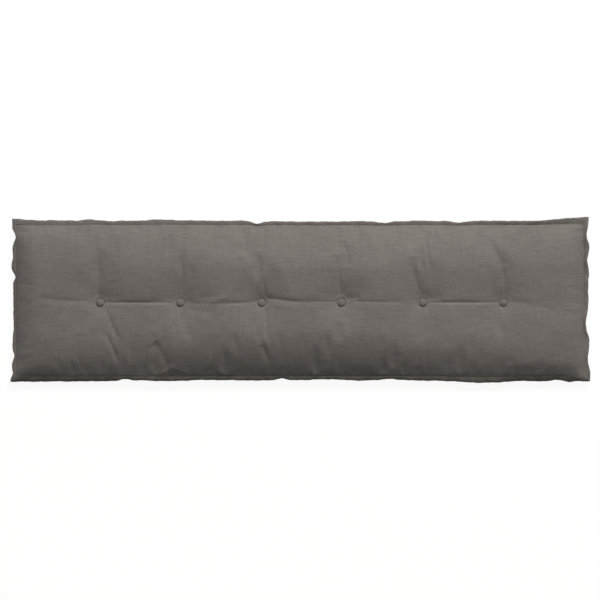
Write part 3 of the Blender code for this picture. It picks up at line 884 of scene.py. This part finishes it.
def welt_section():
    """Outline of the folded strip: out and back along its outer wall, then along its inner one.

    The points are (share of the width, height). From the seam the half thickness rises as a sine
    to the fullest place, and from there it falls as a quarter ellipse to the fold. The inner wall
    lies one thickness of cloth inside the outer.
    """
    rising = np.linspace(0.0, 1.0, WELT_RISING)
    turning = np.sin(np.linspace(0.0, np.pi / 2.0, WELT_TURNING))[1:]
    share = np.concatenate((rising * WELT_FULLEST, WELT_FULLEST + (1.0 - WELT_FULLEST) * turning))
    fuller = WELT_HALF_THICK - WELT_HALF_AT_SEAM
    thick_in = WELT_HALF_AT_SEAM + fuller * np.sin(np.pi / 2.0 * rising)
    half = np.concatenate((thick_in, WELT_HALF_THICK * np.sqrt(1.0 - turning ** 2)))
    inner_share = share * (1.0 - WELT_CLOTH / WELT_WIDTH)
    inner_half = np.maximum(half - WELT_CLOTH, WELT_LEAST_HOLLOW) * (half > 0.0)
    walls = []
    for run, side in ((share, -half), (inner_share, inner_half)):
        walls.append(np.stack((run, side), axis=-1))
        walls.append(np.stack((run, -side), axis=-1)[-2::-1])
    return np.concatenate(walls)


def welt_mesh():
    """The section carried round the seam: a point is seam + share * outwards + height * upwards."""
    seam, edge = welt_paths()
    section = welt_section()
    outwards = edge - seam
    seam = seam - outwards * (WELT_IN_SEAM / WELT_WIDTH)
    outwards = edge - seam
    width = np.linalg.norm(outwards, axis=-1, keepdims=True)
    level = outwards / width
    upwards = np.array((0.0, 0.0, 1.0)) - level * level[:, 2:]
    upwards /= np.linalg.norm(upwards, axis=-1, keepdims=True)
    over = section[None, :, 1:] * upwards[:, None]
    points = seam[:, None] + section[None, :, :1] * outwards[:, None] + over
    stations, ring = points.shape[:2]
    number = np.arange(stations * ring).reshape(stations, ring)
    ahead = np.roll(number, -1, axis=0)
    beside = np.roll(number, -1, axis=1)
    quads = np.stack((number, ahead, np.roll(ahead, -1, axis=1), beside), axis=-1)
    mesh = bpy.data.meshes.new("edge_welt")
    mesh.from_pydata(points.reshape(-1, 3), [], quads.reshape(-1, 4))
    around = np.concatenate(([0.0], np.cumsum(np.linalg.norm(np.diff(edge, axis=0), axis=-1))))
    closing = around[-1] + np.linalg.norm(edge[0] - edge[-1])
    sides = np.diff(section * (WELT_WIDTH, 1.0), axis=0)
    girth = np.concatenate(([0.0], np.cumsum(np.linalg.norm(sides, axis=-1))))
    start = np.stack(np.broadcast_arrays(around[:, None], girth[None, :]), axis=-1)
    far = np.roll(start, -1, axis=0)
    far[-1, :, 0] = closing
    next_girth = np.roll(girth, -1)
    next_girth[-1] = girth[-1] + WELT_CUT_EDGE
    near_up, far_up = start.copy(), far.copy()
    near_up[..., 1], far_up[..., 1] = next_girth, next_girth
    uv = np.stack((start, far, far_up, near_up), axis=2)
    mesh.uv_layers.new(name="weave").data.foreach_set("uv", uv.ravel())
    mesh.shade_smooth()
    mesh.update()
    return mesh


welt = placed("edge_welt", welt_mesh())
# The welt's yarn colours are a little darker than the cover's, though it is the same cloth: this is
# painted shade along the welt.
welt.data.materials.append(melange_weave("linen_look_welt_cloth_with_painted_shade", "#605B57", "#736E6A"))
welt.data.set_sharp_from_angle(angle=SHARP_ANGLE)
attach(welt, "root")
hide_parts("welt")


# ---------------------------------------------------------------------------------------------
# The six covered buttons. A metal shell with the same cloth stretched over it and gathered behind
# its edge. Strong thread through the whole cushion holds each one down in its tuft.

BUTTON_RINGS, UNDER_RINGS = 14, 5    # over the crown, and under its edge
BUTTON_SPOKES = 60
BUTTON_GATHERS = 15
GATHER_DEPTH = 0.00022
GATHER_POWER = 6               # the gathers die away this fast in from the edge
BUTTON_SIDE = 0.0035           # height of the shell's widest ring over its base
CROWN_POWER = 0.9              # below one, so the crown is a little fuller than an ellipse
BASE_RING = 0.5                # radius of the base's inner ring, as a share


def button_profile(height, radius):
    """(radius, height) from the crown over the round shoulder and under to the middle of the base.

    The crown is a sine of the radius against a power of the cosine, and the edge turns under as a
    quarter circle.
    """
    turn = np.linspace(0.0, np.pi / 2.0, BUTTON_RINGS)
    dome = BUTTON_SIDE + (height - BUTTON_SIDE) * np.cos(turn) ** CROWN_POWER
    crown = np.stack((radius * np.sin(turn), dome), axis=-1)
    under_turn = np.linspace(0.0, np.pi / 2.0, UNDER_RINGS)[1:]
    reach = radius - BUTTON_SIDE * (1.0 - np.cos(under_turn))
    under = np.stack((reach, BUTTON_SIDE * (1.0 - np.sin(under_turn))), axis=-1)
    base = np.array(((radius * BASE_RING, 0.0),))
    return np.concatenate((crown[1:], under, base))


def button_mesh(name, low, high):
    """The profile turned about the button's axis, its edge drawn in a little at each gather."""
    centre = (low + high) / 2.0
    radius = float(high[0] - low[0]) / 2.0
    profile = button_profile(float(high[2] - low[2]), radius - GATHER_DEPTH)
    angle = np.arange(BUTTON_SPOKES) * 2.0 * np.pi / BUTTON_SPOKES
    at_edge = np.clip(profile[:, :1] / radius, 0.0, 1.0) ** GATHER_POWER
    reach = profile[:, :1] + GATHER_DEPTH * at_edge * np.cos(BUTTON_GATHERS * angle)
    x = centre[0] + reach * np.cos(angle)
    y = centre[1] + reach * np.sin(angle)
    z = np.broadcast_to(low[2] + profile[:, 1:], x.shape)
    rings = np.stack((x, y, z), axis=-1)
    poles = np.array(((centre[0], centre[1], high[2]), (centre[0], centre[1], low[2])))
    count = len(profile)
    number = np.arange(count * BUTTON_SPOKES).reshape(count, BUTTON_SPOKES)
    beside = np.roll(number, -1, axis=1)
    quads = np.stack((number[:-1], number[1:], beside[1:], beside[:-1]), axis=-1).reshape(-1, 4)
    top = np.stack((np.full(BUTTON_SPOKES, number.size), number[0], beside[0]), axis=-1)
    bottom = np.stack((np.full(BUTTON_SPOKES, number.size + 1), beside[-1], number[-1]), axis=-1)
    mesh = bpy.data.meshes.new(name)
    points = np.concatenate((rings.reshape(-1, 3), poles))
    mesh.from_pydata(points, [], quads.tolist() + top.tolist() + bottom.tolist())
    corner = np.empty(len(mesh.loops), int)
    mesh.loops.foreach_get("vertex_index", corner)
    mesh.uv_layers.new(name="weave").data.foreach_set("uv", points[corner, :2].ravel())
    mesh.shade_smooth()
    mesh.update()
    return mesh


button_cloth = melange_weave("linen_look_button_cloth", "#625D59", "#76716D")
for name, (low, high) in zip(button_names, button_boxes):
    button = placed("covered_" + name, button_mesh("covered_" + name, low, high))
    button.data.materials.append(button_cloth)
    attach(button, "root")
    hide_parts(name)


# ---------------------------------------------------------------------------------------------
# The studio. A pale floor that turns up into a wall all round, one large soft light beyond the
# cushion's upper edge and a little to the right, an even fill, and a camera straight above.

FLOOR_RADIUS = 11.0
FLOOR_INNER_RADIUS = 4.0
FLOOR_SPOKES = 96
WALL_BEND = 3.0
WALL_BEND_RINGS = 13
WALL_HEIGHT = 9.0
PAINT_MOTTLE = {"Scale": 3.0, "Detail": 3.0}
PAINT_GLOW = 0.922


def floor_mesh():
    """A disc whose edge bends up in a quarter circle and goes on as a straight wall."""
    angle = np.linspace(0.0, 2.0 * np.pi, FLOOR_SPOKES + 1)[:-1]
    bend = np.linspace(0.0, np.pi / 2.0, WALL_BEND_RINGS)
    curve = FLOOR_RADIUS + WALL_BEND * np.sin(bend)
    radius = np.concatenate(([FLOOR_INNER_RADIUS], curve, [FLOOR_RADIUS + WALL_BEND]))
    height = np.concatenate(([0.0], WALL_BEND * (1.0 - np.cos(bend)), [WALL_HEIGHT]))
    x = radius[:, None] * np.cos(angle)
    y = radius[:, None] * np.sin(angle)
    points = np.stack((x, y, np.broadcast_to(height[:, None], x.shape)), axis=-1).reshape(-1, 3)
    number = np.arange(len(points)).reshape(len(radius), len(angle))
    beside = np.roll(number, -1, axis=1)
    quads = np.stack((number[:-1], number[1:], beside[1:], beside[:-1]), axis=-1).reshape(-1, 4)
    middle = np.stack((np.full(len(angle), len(points)), number[0], beside[0]), axis=-1)
    mesh = bpy.data.meshes.new("studio_floor")
    mesh.from_pydata(np.vstack((points, (0.0, 0.0, 0.0))), [], quads.tolist() + middle.tolist())
    mesh.shade_smooth()
    mesh.update()
    return mesh


def floor_paint():
    """Matt white studio paint, lit from within a little, so that shadows on it stay faint."""
    material = bpy.data.materials.new("matt_white_studio_paint")
    material.use_nodes = True
    tree = material.node_tree
    shader = tree.nodes["Principled BSDF"]
    place = put(tree, "ShaderNodeTexCoord", {}, {}).outputs["Object"]
    noise = put(tree, "ShaderNodeTexNoise", {}, {"Vector": place, **PAINT_MOTTLE}).outputs[0]
    paint = put(
        tree,
        "ShaderNodeMix",
        {"data_type": "RGBA"},
        {0: noise, 6: linear("#545454"), 7: linear("#565656")},
    ).outputs[2]
    tree.links.new(paint, shader.inputs["Base Color"])
    shader.inputs["Roughness"].default_value = 1.0
    shader.inputs["Specular IOR Level"].default_value = 0.0
    shader.inputs["Emission Color"].default_value = (1.0, 1.0, 1.0, 1.0)
    shader.inputs["Emission Strength"].default_value = PAINT_GLOW
    return material


floor = placed("studio_floor", floor_mesh())
floor.data.materials.append(floor_paint())
floor.visible_diffuse = False
floor.visible_glossy = False

LIGHT_DISTANCE = 9.0
LIGHT_ELEVATION = math.radians(36.0)
LIGHT_TURN = math.radians(14.0)            # from straight beyond the cushion towards its right end
KEY_WIDTH, KEY_LENGTH = 4.3, 2.9
KEY_POWER = 1085.0
FILL_STRENGTH = 0.20
FILL_COLOUR = (1.03, 0.98, 0.90, 1.0)      # a little warm, so the shaded cloth keeps its brown

key_data = bpy.data.lights.new("key_light", "AREA")
key_data.shape = "RECTANGLE"
key_data.size = KEY_WIDTH
key_data.size_y = KEY_LENGTH
key_data.energy = KEY_POWER
key = placed("key_light", key_data)
key.location = (
    LIGHT_DISTANCE * math.cos(LIGHT_ELEVATION) * math.sin(LIGHT_TURN),
    LIGHT_DISTANCE * math.cos(LIGHT_ELEVATION) * math.cos(LIGHT_TURN),
    LIGHT_DISTANCE * math.sin(LIGHT_ELEVATION),
)
key.rotation_euler = (-key.location).to_track_quat("-Z", "Y").to_euler()

world = bpy.data.worlds.new("studio_fill")
world.use_nodes = True
world.node_tree.nodes["Background"].inputs["Color"].default_value = FILL_COLOUR
world.node_tree.nodes["Background"].inputs["Strength"].default_value = FILL_STRENGTH
bpy.context.scene.world = world
bpy.context.scene.view_settings.view_transform = "Standard"

VIEW_WIDTH = 1.875
VIEW_MIDDLE = 0.00125          # the cushion lies this little below the middle of the view
LENS = 135.0
SENSOR = 36.0
camera_data = bpy.data.cameras.new("camera")
camera_data.lens = LENS
camera_data.sensor_width = SENSOR
camera = placed("camera", camera_data)
camera.location = (0.0, VIEW_MIDDLE, SEAM_HEIGHT + VIEW_WIDTH * LENS / SENSOR)
bpy.context.scene.camera = camera
